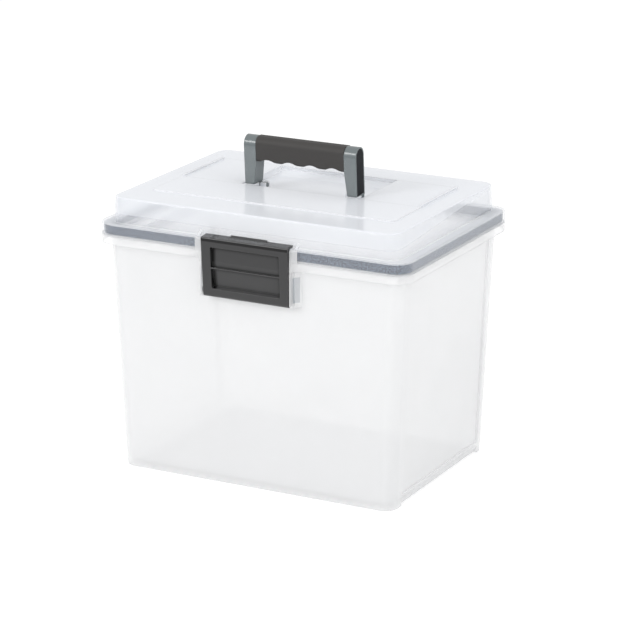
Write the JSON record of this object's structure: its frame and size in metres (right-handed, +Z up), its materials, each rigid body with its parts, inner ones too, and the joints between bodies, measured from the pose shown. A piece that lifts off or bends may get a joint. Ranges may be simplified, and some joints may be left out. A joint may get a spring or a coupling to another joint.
{
  "type": "portable file box",
  "caption": "Translucent lidded file box with a front buckle, a sealing ring under the lid and a fold-down grip handle; letter-size hanging files ride on rails inside.",
  "frame": {"origin": "middle of the underside, on the table, where the foot ribs cross", "axes": "+Z up, front with the buckle faces -Y, +X to the right seen from the front"},
  "size_m": [0.3504, 0.2648, 0.3399],
  "materials": {
    "tote_plastic": "milky translucent moulded plastic, satin",
    "lid_plastic": "clear moulded plastic, glossy",
    "gasket_rubber": "soft satin foam rubber",
    "buckle_plastic": "fine-grained moulded plastic",
    "handle_plastic": "fine-grained moulded plastic",
    "grip_rubber": "soft-touch overmoulding",
    "inlay_plastic": "fine-grained moulded plastic",
    "pin_plastic": "satin moulded plastic"
  },
  "bodies": {
    "tote": {"tote": "tote_plastic", "hinge_pin_left": "pin_plastic", "hinge_pin_right": "pin_plastic"},
    "lid": {"lid": "lid_plastic", "gasket": "gasket_rubber"},
    "buckle": {"buckle": "buckle_plastic"},
    "handle": {"handle_frame": "handle_plastic", "handle_grip": "grip_rubber", "inlay_left": "inlay_plastic", "inlay_right": "inlay_plastic"}
  },
  "joints": [
    {"name": "lid_hinge", "type": "hinge", "parent": "tote", "child": "lid", "pos_m": [0, 0.1314, 0.245], "axis": [-1, 0, 0], "range_deg": [0, 110]},
    {"name": "buckle_swing", "type": "hinge", "parent": "tote", "child": "buckle", "pos_m": [0, -0.121, 0.206], "axis": [1, 0, 0], "range_deg": [0, 90]},
    {"name": "handle_fold", "type": "hinge", "parent": "lid", "child": "handle", "pos_m": [0, 0.005, 0.286], "axis": [-1, 0, 0], "range_deg": [0, 94]}
  ]
}
